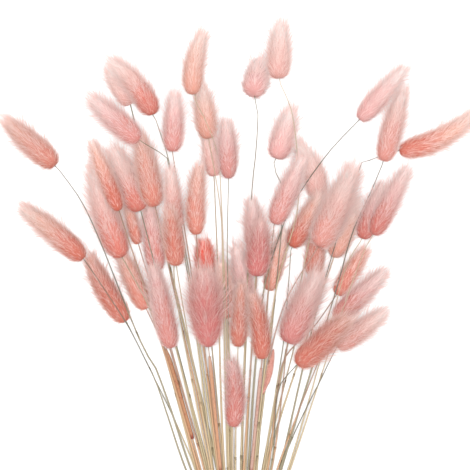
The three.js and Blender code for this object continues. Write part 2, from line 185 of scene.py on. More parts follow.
# How the dye runs in a head: how far along the colour map it is near the head's base, middle and tip
DYES = {
    "faint": (0.44, 0.54, 0.96),
    "usual": (0.33, 0.32, 0.84),
    "strong at the base": (0.03, 0.28, 0.84),
    "even": (0.3, 0.26, 0.46),
    "strong": (0.28, 0.0, 0.36),
    "deep throughout": (0.02, 0.03, 0.08),
}
# The places along a head where the dye is set, and how much it still changes from them to its very ends
DYE_PLACES = (0, 0.12, 0.42, 0.9, 1)
DYE_AT_ENDS = 0.02

# How much of their paler end the hairs keep on the heads that are dyed through
PALING = {"strong": 0.55, "deep throughout": 0.4}

# Hairs are dyed paler than the core they stand on, and wisps all much alike: the place on the colour map
# that each goes towards, and how much of the way
HUSK_TINT = (0.0, 0.0)
FUR_TINT = (1.0, 0.24)
WISP_TINT = (0.4, 0.7)
WISP_PALING = 0.4
CORE_DEEPER = 0.14

# The map that colours a stalk: its head uses the lower part, in bands of one tone each, of which the last two
# are for wisps and husks, then comes the stem, then a leaf
TONES = 8
WISP_TONE = TONES - 2
HUSK_TONE = TONES - 1
FUR_PART = 0.7
CORE_PART = (0.02, 0.04)
STEM_PART = (0.72, 0.84)
LEAF_PART = (0.86, 0.98)
# A hair's place on the map: its span across, where it starts and how far it rises in its band, and a lift
# that keeps its sides from being a line there
HAIR_ACROSS = 0.006
HAIR_FOOT = 0.08
HAIR_RISE = 0.84
HAIR_LIFT = 0.004

# Which of a stalk's finishes a face has
ON_HEAD = 0
ON_STEM = 1
ON_LEAF = 2

# The stalks that keep a dried leaf sheath, and the one with a curled leaf: where along the stem, as shares
# from its cut end, and how wide
SHEATHS = {10: (0.62, 0.88, 2.0 * MM), 36: (0.6, 0.97, 1.6 * MM), 46: (0.62, 0.97, 1.5 * MM)}
LEAFED = 23
LEAF_SPAN = (0.625, 0.735)
LEAF_WIDTH = 2.0 * MM
LEAF_STEPS = 120
# A sheath's radius at shares of its length, and how deep its flutes are
SHEATH_SHARES = ((0, 0.6), (0.02, 0.9), (0.06, 0.74), (0.4, 0.88), (0.9, 1), (1, 0.6))
SHEATH_FLUTES = 0.1
# The leaf blade, in half widths: its narrowest place, fold and thickness, how it turns and waves, and how far
# it stands off its stem to the side and upwards
LEAF_NARROWEST = 0.14
LEAF_FOLD = 0.45
LEAF_THICKNESS = 0.12
LEAF_TURNING = 0.35
LEAF_TURNED = 0.2
LEAF_WAVES = 0.2
LEAF_BOW = 0.9
LEAF_AWAY = 0.7
LEAF_LIFTED = 0.6

# Twine: the strand's radius, the steps in its line, and its turns round the stems, which wander by this many
# millimetres
TWINE_RADIUS = 1.0 * MM
TWINE_STEPS = 1600
TURNS = 4
TURN_PITCH = 1.84 * MM
TURN_WANDER = 0.06
POINTS_A_TURN = 40
# The plies that the strand is twisted from, the length of one twist, and each ply's part of the colour map
PLIES = 3
PLY_RADIUS = 0.52 * MM
PLY_OFFSET = 0.5 * MM
PLY_SIDES = 6
TWIST = 5.5 * MM
PLY_PART = 0.31
PLY_MARGIN = 0.02
# Short sections in the turns and in each strand of the knot
TURN_SECTIONS = 900
KNOT_SECTIONS = 90
# The turns in the tie's solid reach this far along the stems from its middle, and this high
SOLID_TURNS_REACH = 3.2 * MM
SOLID_TURNS_TOP = 16 * MM
# How far the turns are pressed flat on the surface, and the knot's height over them in twine radii
PRESSED_FLAT = 0.1 * MM
KNOT_HEIGHT = 1.6

# Heads with a tint or a dye of their own: the rest have the tint of their slot and the usual dye
HEADS_TINTED = {"rose": (36, 42, 45), "vermilion": (3,)}
HEADS_DYED = {
    "faint": (2, 4, 5, 7, 13, 17, 19, 24, 30, 31, 34),
    "strong at the base": (11, 12, 15, 16, 21, 22, 27, 28, 29, 38, 39, 40, 48),
    "even": (1, 8, 10, 14, 18, 33, 37, 43, 49),
    "strong": (36, 41, 42, 46, 47, 50, 51),
    "deep throughout": (3,),
}
# The stalks in each layer of the bunch, and the painted light on their fur: the lower heads are painted paler
# and the top ones darker, to offset the shade that the upper heads cast on the lower ones
LAYERS = {"low": range(1, 18), "middle": range(18, 35), "top": range(35, 52)}
LAYER_PAINTED_LIGHT = {"low": 1.0, "middle": 0.95, "top": 0.9}

# Stems that aren't the usual straw colour, and those that are slim
STEMS_TINTED = {
    "olive straw": (5, 8, 16, 17, 20, 21, 22, 24, 35, 47),
    "grey straw": (12, 25, 31, 44, 48, 49, 50),
    "tan straw": (10, 14, 18, 26, 28, 32, 33, 36, 39, 42, 43, 45),
    "cream straw": (2, 7, 13, 15, 19, 29, 30, 34, 37, 38, 40, 51),
    "rose straw": (6, 23, 46),
}
SLIM_STEMS = (12, 17, 19, 20, 21, 22, 24, 25, 30, 31, 34, 35, 38, 40, 44, 47, 48, 49, 50)


def group_of(number, groups, usual):
    """The name of the group that a stalk's number is in, or the usual one."""
    return next((name for name, numbers in groups.items() if number in numbers), usual)


# Shapes that are modelled once


def clear_selection():
    bpy.ops.object.select_all(action="DESELECT")
    bpy.context.view_layer.objects.active = None


def apply_place():
    """Moves a new primitive's place into its mesh, and gives the piece."""
    bpy.ops.object.transform_apply(location=True, rotation=True, scale=True)
    return bpy.context.object


def lift_shape(piece):
    """The corners and triangles of a modelled shape, which is then taken off the scene."""
    shape = bmesh.new()
    shape.from_mesh(piece.data)
    bmesh.ops.triangulate(shape, faces=shape.faces[:])
    shape.verts.index_update()
    corners = np.array([v.co[:] for v in shape.verts])
    triangles = np.array([[v.index for v in face.verts] for face in shape.faces])
    shape.free()
    bpy.data.objects.remove(piece)
    return corners, triangles


def start_hair():
    """A three-sided point, a unit long and a unit in radius at its root."""
    clear_selection()
    bpy.ops.mesh.primitive_cone_add(vertices=3, radius1=1, radius2=0, depth=1, location=(0, 0, 0.5))
    return apply_place()


def model_short_hair():
    """A straight hair."""
    return lift_shape(start_hair())


def model_long_hair():
    """A hair with a joint halfway, so that it can curve."""
    hair = start_hair()
    bpy.ops.object.mode_set(mode="EDIT")
    bpy.ops.mesh.select_all(action="SELECT")
    bpy.ops.mesh.bisect(plane_co=(0, 0, 0.5), plane_no=(0, 0, 1))
    bpy.ops.transform.resize(value=(LONG_HAIR_FULLER, LONG_HAIR_FULLER, 1))
    bpy.ops.object.mode_set(mode="OBJECT")
    return lift_shape(hair)


def model_core():
    """A ball whose height runs from 0 to 1, to be drawn in along a head."""
    clear_selection()
    bpy.ops.mesh.primitive_uv_sphere_add(segments=20, ring_count=18, radius=1, location=(0, 0, 1))
    core = apply_place()
    bpy.ops.object.mode_set(mode="EDIT")
    bpy.ops.mesh.select_all(action="SELECT")
    bpy.ops.transform.resize(value=(1, 1, 0.5), center_override=(0, 0, 0))
    bpy.ops.object.mode_set(mode="OBJECT")
    return lift_shape(core)


def model_stem():
    """A straight straw a unit long and a unit in radius, with a hollow cut end and two swollen joints."""
    clear_selection()
    bpy.ops.mesh.primitive_cylinder_add(
        vertices=STEM_SIDES, radius=1, depth=1, location=(0, 0, 0.5), end_fill_type="NGON"
    )
    stem = apply_place()
    bpy.ops.object.mode_set(mode="EDIT")
    heights = list(np.linspace(0, 1, STEM_RINGS + 1)[1:-1])
    for joint in JOINTS:
        heights = [height for height in heights if abs(height - joint) > JOINT_LENGTH]
        heights += [joint - JOINT_LENGTH / 2, joint, joint + JOINT_LENGTH / 2]
    for height in heights:
        bpy.ops.mesh.select_all(action="SELECT")
        bpy.ops.mesh.bisect(plane_co=(0, 0, height), plane_no=(0, 0, 1))
        if height in JOINTS:
            bpy.ops.transform.resize(value=(JOINT_SWELLING, JOINT_SWELLING, 1))
    bpy.ops.mesh.select_all(action="DESELECT")
    bpy.ops.mesh.select_mode(type="FACE")
    mesh = bmesh.from_edit_mesh(stem.data)
    for face in mesh.faces:
        faces_down = face.normal.z < -0.9
        face.select_set(faces_down)
    bmesh.update_edit_mesh(stem.data)
    bpy.ops.mesh.inset(thickness=STRAW_WALL)
    bpy.ops.transform.translate(value=(0, 0, HOLLOW_DEPTH))
    bpy.ops.object.mode_set(mode="OBJECT")
    return lift_shape(stem)


def model_tube(sections, sides):
    """A closed straight tube a unit long and a unit in radius, in many short sections."""
    clear_selection()
    bpy.ops.mesh.primitive_cylinder_add(
        vertices=sides, radius=1, depth=1, location=(0, 0, 0.5), end_fill_type="NOTHING"
    )
    tube = apply_place()
    array = tube.modifiers.new("sections", "ARRAY")
    array.count = sections
    array.relative_offset_displace = (0, 0, 1)
    array.use_merge_vertices = True
    array.merge_threshold = 0.01
    bpy.ops.object.modifier_apply(modifier=array.name)
    bpy.ops.object.mode_set(mode="EDIT")
    bpy.ops.mesh.select_all(action="SELECT")
    bpy.ops.mesh.fill_holes(sides=0)
    bpy.ops.mesh.select_all(action="SELECT")
    bpy.ops.mesh.normals_make_consistent(inside=False)
    bpy.ops.transform.resize(value=(1, 1, 1 / sections), center_override=(0, 0, 0))
    bpy.ops.object.mode_set(mode="OBJECT")
    return lift_shape(tube)


def model_leaf():
    """A leaf blade a unit long, wide in its middle, with a fold down its midrib and some thickness."""
    clear_selection()
    bpy.ops.mesh.primitive_grid_add(x_subdivisions=4, y_subdivisions=26, size=1, location=(0, 0.5, 0))
    leaf = apply_place()
    bpy.ops.object.mode_set(mode="EDIT")
    mesh = bmesh.from_edit_mesh(leaf.data)
    # The blade widens and narrows again as an arch, of which its two ends are a little way in
    for vertex in mesh.verts:
        along_arch = min(0.98, 0.06 + 0.92 * vertex.co.y)
        swell = math.sin(math.pi * along_arch) ** 0.7
        vertex.co.x *= 2 * (LEAF_NARROWEST + (1 - LEAF_NARROWEST) * swell)
        vertex.co.z = LEAF_FOLD * abs(vertex.co.x)
    bmesh.update_edit_mesh(leaf.data)
    bpy.ops.object.mode_set(mode="OBJECT")
    wall = leaf.modifiers.new("wall", "SOLIDIFY")
    wall.thickness = LEAF_THICKNESS
    wall.offset = 0
    bpy.ops.object.modifier_apply(modifier=wall.name)
    return lift_shape(leaf)


# Lines and places


def unit(vectors):
    """The vectors at a length of one."""
    return vectors / np.maximum(np.linalg.norm(vectors, axis=-1, keepdims=True), 1e-12)


def share_at(place, shares):
    """A share that changes from place to place, given as pairs of a place and the share there."""
    return np.interp(place, *zip(*shares))


def share_of_turn(x, y):
    """How far round a piece a place is, as a share of a turn."""
    return np.arctan2(y, x) / (2 * np.pi) % 1


def along_map(share):
    """How far along the colour map a share of a piece's length is, just inside the map's edges."""
    return 0.01 + 0.98 * share


def keep_above_surface(placed):
    placed[:, 2] = np.maximum(placed[:, 2], LOWEST)


def smooth_line(points, marks):
    """Places on a smooth curve through the points, at shares of its length, and that length."""
    ends = np.vstack([2 * points[0] - points[1], points, 2 * points[-1] - points[-2]])
    finer = []
    for i in range(1, len(ends) - 2):
        before, here, after, beyond = ends[i - 1 : i + 3]
        for s in np.linspace(0, 1, CURVE_STEPS, endpoint=False):
            bend = (
                2 * here
                + (after - before) * s
                + (2 * before - 5 * here + 4 * after - beyond) * s**2
                + (3 * here - before - 3 * after + beyond) * s**3
            )
            finer.append(0.5 * bend)
    finer = np.array(finer + [points[-1]])
    reach = np.concatenate([[0], np.cumsum(np.linalg.norm(np.diff(finer, axis=0), axis=1))])
    wanted = marks * reach[-1]
    return np.stack([np.interp(wanted, reach, finer[:, k]) for k in range(3)], 1), reach[-1]


def follow(line, marks, height):
    """At each height, as a share of a line: the place on it, and the ways ahead, sideways and up there."""
    ahead = unit(np.gradient(line, axis=0))
    side = unit(np.cross(np.array([0, 0, 1.0]), ahead))
    up = np.cross(ahead, side)
    return [
        np.stack([np.interp(height, marks, rows[:, k]) for k in range(3)], 1)
        for rows in (line, ahead, side, up)
    ]


def read_stalk(node):
    """The line of a stalk's stem and its head's base, tip, bow and radius, from its plain solid."""
    solid = bmesh.new()
    solid.from_mesh(frame["nodes"][node].data)
    bmesh.ops.remove_doubles(solid, verts=solid.verts, dist=ONE_CORNER)
    ring = sorted(solid.verts, key=lambda v: v.co.y)[:SOLID_STEM_SIDES]
    seen = set(ring)
    rings = []
    while ring:
        rings.append(np.array([v.co[:] for v in ring]))
        ring = list({e.other_vert(v) for v in ring for e in v.link_edges} - seen)
        seen.update(ring)
    solid.free()
    first = next(i for i, points in enumerate(rings) if len(points) == SOLID_HEAD_SIDES)
    line = np.array([points.mean(0) for points in rings[:first]])
    base = line[-1]
    tip = rings[-1].mean(0)
    ahead = tip - base
    middle = rings[first + SOLID_MIDDLE_RING].mean(0) - base
    share = middle @ ahead / (ahead @ ahead)
    bow = (middle - share * ahead) / (4 * share * (1 - share))
    bow[2] = 0
    points = np.vstack(rings[first:]) - base
    share = np.clip(points @ ahead / (ahead @ ahead), 0, 1)[:, None]
    apart = points - share * ahead - 4 * share * (1 - share) * bow
    apart = apart[points[:, 2] + base[2] > ON_SURFACE]
    radius = np.linalg.norm(apart, axis=1).max() / SOLID_WIDTH_SHARE
    return {"line": line, "base": base, "tip": tip, "bow": bow, "radius": radius}


def axis_of(stalk):
    """A way to look up the head's axis: a function from places along it to points and directions."""
    base, tip, bow = stalk["base"], stalk["tip"], stalk["bow"]
    chord = tip - base

    def axis_at(along):
        along = np.asarray(along)[:, None]
        at = base + chord * along + 4 * along * (1 - along) * bow
        ahead = unit(chord + 4 * (1 - 2 * along) * bow)
        side = unit(np.cross(np.array([0, 0, 1.0]), ahead))
        return at, ahead, side, np.cross(ahead, side)

    return axis_at


def head_length(stalk):
    """A head's length, or a little more than its width if that is longer."""
    return max(np.linalg.norm(stalk["tip"] - stalk["base"]), SHORTEST_HEAD * stalk["radius"])


def head_profile(along, power):
    """A head's radius as a share of its greatest one, from its base at 0 to its tip at 1."""
    along = np.clip(along, 0, 1)
    return np.sqrt(np.maximum(np.sin(np.pi * along**power), 0))


def core_profile(along, power, end=1.0):
    """The core's radius as a share of the head's greatest one; near its base the core is fuller."""
    return head_profile(along / end, power) * share_at(along, CORE_SHARES)


def map_along(along, dye):
    """Where a place on the head is on the colour map."""
    base, middle, tip = dye
    return np.interp(along, DYE_PLACES, (base - DYE_AT_ENDS, base, middle, tip, tip + DYE_AT_ENDS))


# The parts of a piece


class Patch:
    """Corners, triangles, map places and finish numbers that are gathered into one piece."""

    def __init__(self):
        self.corners, self.triangles, self.places, self.finish, self.smooth = [], [], [], [], []
        self.count = 0

    def add(self, corners, triangles, places, finish=0, smooth=True):
        self.corners.append(corners)
        self.triangles.append(triangles + self.count)
        self.places.append(places)
        self.finish.append(np.full(len(triangles), finish))
        self.smooth.append(np.full(len(triangles), smooth))
        self.count += len(corners)

    def piece(self, name, finishes):
        """Makes the piece, with its finishes and its colour map."""
        corners = np.vstack(self.corners)
        triangles = np.vstack(self.triangles)
        places = np.vstack(self.places)
        mesh = bpy.data.meshes.new(name)
        mesh.vertices.add(len(corners))
        mesh.vertices.foreach_set("co", corners.astype(np.float32).ravel())
        mesh.loops.add(triangles.size)
        mesh.loops.foreach_set("vertex_index", triangles.astype(np.int32).ravel())
        mesh.polygons.add(len(triangles))
        mesh.polygons.foreach_set("loop_start", np.arange(0, triangles.size, 3, dtype=np.int32))
        for finish in finishes:
            mesh.materials.append(finish)
        mesh.polygons.foreach_set("material_index", np.concatenate(self.finish).astype(np.int32))
        mesh.polygons.foreach_set("use_smooth", np.concatenate(self.smooth))
        layer = mesh.uv_layers.new(name="OFBake")
        layer.data.foreach_set("uv", places[triangles.ravel()].astype(np.float32).ravel())
        mesh.update(calc_edges=True)
        mesh.validate()
        made = bpy.data.objects.new(name, mesh)
        bpy.context.scene.collection.objects.link(made)
        return made


def add_stem(patch, shape, stalk, rng, slim):
    """Bends a copy of the straight straw along the stalk's line, and thins it towards the head."""
    corners, triangles = shape
    x, y, height = corners.T
    warped = height ** rng.uniform(*JOINT_SHIFTS)
    end = stalk["base"] + STEM_IN_HEAD * (stalk["tip"] - stalk["base"])
    marks = np.linspace(0, 1, STEM_STEPS)
    line, _ = smooth_line(np.vstack([stalk["line"], end]), marks)
    thick = share_at(warped, SLIM_RADII if slim else STEM_RADII) * MM * rng.uniform(*STEM_SIZES)
    at, _, side, up = follow(line, marks, warped)
    placed = at + side * (x * thick)[:, None] + up * (y * thick)[:, None]
    keep_above_surface(placed)
    around = np.interp(share_of_turn(x, y), (0, 1), STEM_PART)
    patch.add(placed, triangles, np.stack([along_map(warped), around], 1), ON_STEM)


def add_core(patch, shape, stalk, axis_at, rng, dye):
    """Draws a copy of the ball in along the head's axis."""
    corners, triangles = shape
    x, y, height = corners.T
    along = CORE_END * height
    angle = np.arctan2(y, x)
    at, _, side, up = axis_at(along)
    profile = core_profile(along, stalk["power"], CORE_END)
    radius = stalk["radius"] * profile * rng.uniform(*CORE_UNEVEN, len(corners))
    at_pole = np.hypot(x, y) < 1e-4
    radius = np.where(at_pole, 0, radius)
    placed = at + (side * np.cos(angle)[:, None] + up * np.sin(angle)[:, None]) * radius[:, None]
    keep_above_surface(placed)
    u = np.maximum(map_along(along, dye) - CORE_DEEPER, 0.01)
    around = np.interp(share_of_turn(x, y), (0, 1), CORE_PART)
    patch.add(placed, triangles, np.stack([u, around], 1), ON_HEAD)


def plant(patch, shape, roots, ahead, side, length, thick, droop, along, tone, dye, tint, paling=1.0):
    """Copies of one hair, each with its own place, way, length, thickness, droop, tone and paler end, partly
    painted light.

    Hairs that would leave the room round the solids are pressed back into it.
    """
    corners, triangles = shape
    x, y, z = corners.T
    out = np.cross(ahead, side)
    placed = (
        roots[:, None]
        + ahead[:, None] * (z * length[:, None])[..., None]
        + side[:, None] * (x * thick[:, None])[..., None]
        + out[:, None] * (y * thick[:, None])[..., None]
        + droop[:, None] * (z**2 * length[:, None])[..., None]
    )
    placed = np.clip(placed, room_low, room_high)
    turn = share_of_turn(x, y)
    on_edge = np.hypot(x, y) > 1e-6
    across = np.where(on_edge, turn * HAIR_ACROSS, HAIR_ACROSS / 2)
    lift = np.where(np.abs(turn - 0.5) < 0.2, 0.0, HAIR_LIFT) * on_edge
    towards, share = tint
    u = map_along(along, dye)
    u = (u + share * (towards - u))[:, None] + across[None]
    v = (tone[:, None] + HAIR_FOOT + HAIR_RISE * paling * z[None]) / TONES * FUR_PART + lift[None]
    steps = np.arange(len(roots))[:, None, None] * len(corners)
    patch.add(
        placed.reshape(-1, 3),
        (triangles[None] + steps).reshape(-1, 3),
        np.stack([u, v], -1).reshape(-1, 2),
        ON_HEAD,
        smooth=False,
    )


def add_fur(patch, stalk, axis_at, rng, dye, paling, husk_count, short_count, wisp_count, long_count):
    """Plants a head's husks, its short fur and its wisps."""
    radius = stalk["radius"]
    power = stalk["power"]
    tall = head_length(stalk)
    marks = np.linspace(0.0, LAST_ROOT, ROOT_MARKS)
    density = np.cumsum(head_profile(marks, power) ** CLOSER_WHERE_WIDE + CLOSE_ANYWHERE)

    def roots_for(count, lowest=0.0):
        """Places on the core, with the way ahead on its surface, the way out of it and the way across."""
        along = np.interp(rng.uniform(lowest * density[-1], density[-1], count), density, marks)
        angle = rng.uniform(0, 2 * np.pi, count)
        at, ahead, side, up = axis_at(along)
        outward = side * np.cos(angle)[:, None] + up * np.sin(angle)[:, None]
        widening = core_profile(along + SLOPE_STEP, power) - core_profile(along - SLOPE_STEP, power)
        slope = widening / (2 * SLOPE_STEP) * radius / tall
        narrowing = np.maximum(slope, STEEPEST_NARROWING) * NARROWING_SHARE
        slope = np.where(slope > 0, np.minimum(slope, STEEPEST_WIDENING), narrowing)
        tangent = unit(ahead + outward * slope[:, None])
        normal = unit(outward - tangent * (outward * tangent).sum(1)[:, None])
        depth = radius * core_profile(along, power) * rng.uniform(*ROOT_DEPTHS, count)
        roots = at + outward * depth[:, None]
        return along, roots, tangent, normal, np.cross(tangent, normal)

    def ways_of(along, tangent, normal, across, lean, easing, swerve):
        """Which way each hair points: ahead on the surface, out of it by its lean, and somewhat across."""
        leans = np.radians(rng.normal(*lean, len(along))) * share_at(along, easing)
        swerves = rng.normal(0, swerve, len(along))
        out = normal * np.sin(leans)[:, None]
        return unit(tangent * np.cos(leans)[:, None] + out + across * swerves[:, None])

    # Pale husks, which lie close on the core and show as short strokes in its deeper dye
    along, roots, tangent, normal, across = roots_for(husk_count)
    ahead = ways_of(along, tangent, normal, across, HUSK_LEAN, HUSK_EASING, HUSK_SWERVE)
    room = np.maximum((1 - along) * tall, SHORTEST_AT_TIP)
    reach = np.clip(rng.uniform(*HUSK_LENGTHS, husk_count) * MM, SHORTEST_HAIR, room)
    thick = rng.uniform(*HUSK_THICKNESS, husk_count) * MM
    tone = np.full(husk_count, HUSK_TONE)
    curl = -normal * HUSK_CURL
    plant(patch, long_hair, roots, ahead, unit(across), reach, thick, curl, along, tone, dye, HUSK_TINT)

    # Short fur, which makes the body of the head
    along, roots, tangent, normal, across = roots_for(short_count)
    ahead = ways_of(along, tangent, normal, across, FUR_LEAN, FUR_EASING, FUR_SWERVE)
    share = share_at(along, ((0, 0.46), (0.2, 1), (0.6, 1), (1, stalk["tip_hair"])))
    reach = FUR_DEPTH * radius * rng.uniform(*FUR_LENGTHS, short_count) * share
    room = (1.0 + rng.normal(0.0, UNEVEN_TIP, short_count) - along) * tall
    reach = np.clip(reach, SHORTEST_HAIR, np.maximum(room, SHORTEST_AT_TIP))
    coarse = np.where(rng.uniform(0, 1, short_count) < COARSE_SHARE, COARSER, 1.0)
    thick = coarse * rng.uniform(*FUR_THICKNESS, short_count) * MM
    tone = rng.integers(0, WISP_TONE, short_count)
    droop = np.zeros((short_count, 3))
    plant(
        patch, short_hair, roots, ahead, unit(across), reach, thick, droop,
        along, tone, dye, FUR_TINT, paling,
    )

    # Wisps, which soften the outline. Each row holds the hair, how many, from where along the head, the lean
    # in degrees, the length in head radii and the thickness in millimetres
    for shape, count, lowest, lean, lengths, thickness in (
        (short_hair, wisp_count, 0.0, (34, 10), (0.7, 1.2), (0.07, 0.11)),
        (long_hair, long_count, 0.25, (46, 13), (1.1, 2.2), (0.09, 0.14)),
        (long_hair, long_count // 2, 0.84, (17, 13), (0.7, 1.9), (0.08, 0.12)),
        (long_hair, long_count // 12, 0.88, (12, 9), (2.0, 3.8), (0.07, 0.1)),
    ):
        along, roots, tangent, normal, across = roots_for(count, lowest)
        ahead = ways_of(along, tangent, normal, across, lean, WISP_EASING, WISP_SWERVE)
        share = share_at(along, ((0, 0.6), (0.6, 0.9), (1, 0.6 * stalk["tip_hair"])))
        reach = radius * rng.uniform(*lengths, count) * share
        thick = rng.uniform(*thickness, count) * MM
        tone = np.full(count, WISP_TONE)
        bend_ahead = tangent * rng.uniform(*WISP_BEND_AHEAD, count)[:, None]
        droop = bend_ahead - normal * rng.uniform(*WISP_BEND_BACK, count)[:, None]
        plant(
            patch, shape, roots, ahead, unit(across), reach, thick, droop,
            along, tone, dye, WISP_TINT, WISP_PALING,
        )


def add_sheath(patch, shape, stalk, low, high, radius):
    """A rolled leaf sheath round a stem, between two of its places counted from its cut end."""
    corners, triangles = shape
    x, y, height = corners.T
    marks = np.linspace(0, 1, LEAF_STEPS)
    line, _ = smooth_line(stalk["line"], np.linspace(low, high, LEAF_STEPS))
    at, _, side, up = follow(line, marks, height)
    angle = np.arctan2(y, x)
    flutes = 1 + SHEATH_FLUTES * np.sin(3 * angle + 5 * height)
    thick = radius * share_at(height, SHEATH_SHARES) * flutes
    placed = at + (side * np.cos(angle)[:, None] + up * np.sin(angle)[:, None]) * thick[:, None]
    around = np.interp(angle, (-np.pi, np.pi), LEAF_PART)
    patch.add(placed, triangles, np.stack([along_map(height), around], 1), ON_LEAF)


def add_leaf(patch, shape, stalk, low, high, width):
    """A narrow curled leaf that stays close to its stem and waves along its edges."""
    corners, triangles = shape
    across, height, lift = corners.T
    marks = np.linspace(0, 1, LEAF_STEPS)
    line, _ = smooth_line(stalk["line"], np.linspace(low, high, LEAF_STEPS))
    at, _, side, up = follow(line, marks, height)
    turn = LEAF_TURNING * np.sin(7 * height) + LEAF_TURNED
    wave = LEAF_WAVES * np.sin(30 * height + 2) * across
    x = across * np.cos(turn) - (lift + wave) * np.sin(turn)
    y = across * np.sin(turn) + (lift + wave) * np.cos(turn)
    away = LEAF_BOW * np.sin(np.pi * height) + LEAF_AWAY * height
    placed = at + side * ((x - away) * width)[:, None] + up * ((y + LEAF_LIFTED) * width)[:, None]
    edge_to_edge = np.interp(across, (-1, 1), LEAF_PART)
    patch.add(placed, triangles, np.stack([along_map(height), edge_to_edge], 1), ON_LEAF)


def wind_strand(patch, shape, path):
    """Plies twisted round each other along a path."""
    corners, triangles = shape
    x, y, height = corners.T
    marks = np.linspace(0, 1, TWINE_STEPS)
    line, length = smooth_line(path, marks)
    at, ahead, side, up = follow(line, marks, height)
    for ply in range(PLIES):
        twist = 2 * np.pi * (height * length / TWIST + ply / PLIES)
        out = unit(side * np.cos(twist)[:, None] + up * np.sin(twist)[:, None])
        flank = np.cross(ahead, out)
        middle = at + out * PLY_OFFSET
        placed = middle + (out * x[:, None] + flank * y[:, None]) * PLY_RADIUS
        keep_above_surface(placed)
        around = PLY_MARGIN + PLY_PART * (ply + share_of_turn(x, y))
        patch.add(placed, triangles, np.stack([along_map(height), around], 1))


# Materials


def srgb(red, green, blue):
    """A colour given from 0 to 255, no darker than 11 in any of the three, as a shader's socket takes it."""
    return tuple(((c / 255 + 0.055) / 1.055) ** 2.4 for c in (red, green, blue)) + (1.0,)


WHITE = (1.0, 1.0, 1.0, 1.0)
HALFWAY = (0.5, 0.5, 0.5, 1.0)
BLACK = (0.0, 0.0, 0.0, 1.0)
SURFACE_COLOUR = (0.72, 0.72, 0.72, 1.0)

# From a head's deepest dye through two steps to its tip
FUR_COLOURS = {
    "pale": (srgb(172, 85, 69), srgb(182, 133, 125), srgb(191, 154, 146), srgb(208, 206, 203)),
    "pink": (srgb(168, 83, 71), srgb(181, 130, 127), srgb(189, 149, 145), srgb(207, 203, 200)),
    "salmon": (srgb(170, 80, 59), srgb(180, 122, 104), srgb(188, 141, 124), srgb(207, 196, 190)),
    "coral": (srgb(166, 72, 49), srgb(178, 110, 90), srgb(187, 132, 113), srgb(207, 187, 179)),
    "rose": (srgb(168, 78, 75), srgb(181, 112, 106), srgb(191, 147, 141), srgb(208, 202, 199)),
    "vermilion": (srgb(196, 58, 34), srgb(198, 84, 56), srgb(202, 124, 100), srgb(218, 180, 164)),
}
# The colour that hairs pale towards, the colour of wisps, and how far wisps and husks go towards theirs. Both
# colours are partly the hairs' own paler ends and partly painted light: a pale glow for light through the
# fuzz at the rims, and a lift for fuzz that lies in shade between heads
HAIR_END_AND_RIM_GLOW_COLOUR = srgb(247, 222, 216)
WISP_COLOUR = srgb(220, 182, 175)
WISP_SHARE = 0.6
HUSK_SHARE = 0.42
# How much a hair pales towards its end, how late on its way, and how much more the palest tone does. The
# paling is partly the hair's own colour and partly a painted glow at the rims
HAIR_PALER = 0.8
HAIR_PALES_LATE = 1.4
TONE_PALER = 0.18

# A straw's cut end, its lower and upper length and its joints, and how far a joint's colour runs each way.
# The lower length is paler, partly the straw's own colour and partly painted light against the shade between
# stems
STRAW_COLOURS = {
    "straw": (srgb(180, 162, 134), srgb(167, 145, 114), srgb(148, 132, 108), srgb(154, 130, 102)),
    "olive straw": (srgb(176, 162, 134), srgb(156, 141, 111), srgb(112, 107, 88), srgb(138, 122, 96)),
    "grey straw": (srgb(160, 148, 124), srgb(126, 117, 94), srgb(92, 88, 74), srgb(108, 98, 78)),
    "cream straw": (srgb(184, 168, 142), srgb(162, 145, 115), srgb(166, 148, 124), srgb(148, 128, 100)),
    "rose straw": (srgb(178, 156, 138), srgb(167, 134, 114), srgb(158, 128, 115), srgb(154, 116, 98)),
    "tan straw": (srgb(176, 152, 124), srgb(165, 129, 98), srgb(142, 113, 95), srgb(150, 110, 84)),
}
JOINT_STAIN = 0.008

# Each dried leaf's foot, blade, end and spots
LEAF_COLOURS = {
    "orange sheath": (srgb(124, 52, 40), srgb(154, 108, 76), srgb(150, 116, 92), srgb(136, 66, 50)),
    "tan sheath": (srgb(136, 88, 66), srgb(162, 118, 90), srgb(156, 124, 106), srgb(140, 100, 82)),
    "pink sheath": (srgb(134, 90, 80), srgb(158, 126, 113), srgb(158, 126, 114), srgb(140, 92, 80)),
    "spotted leaf": (srgb(140, 84, 72), srgb(168, 118, 106), srgb(160, 114, 102), srgb(132, 58, 48)),
}
LEAVES = {10: "orange sheath", 36: "tan sheath", 46: "pink sheath", LEAFED: "spotted leaf"}


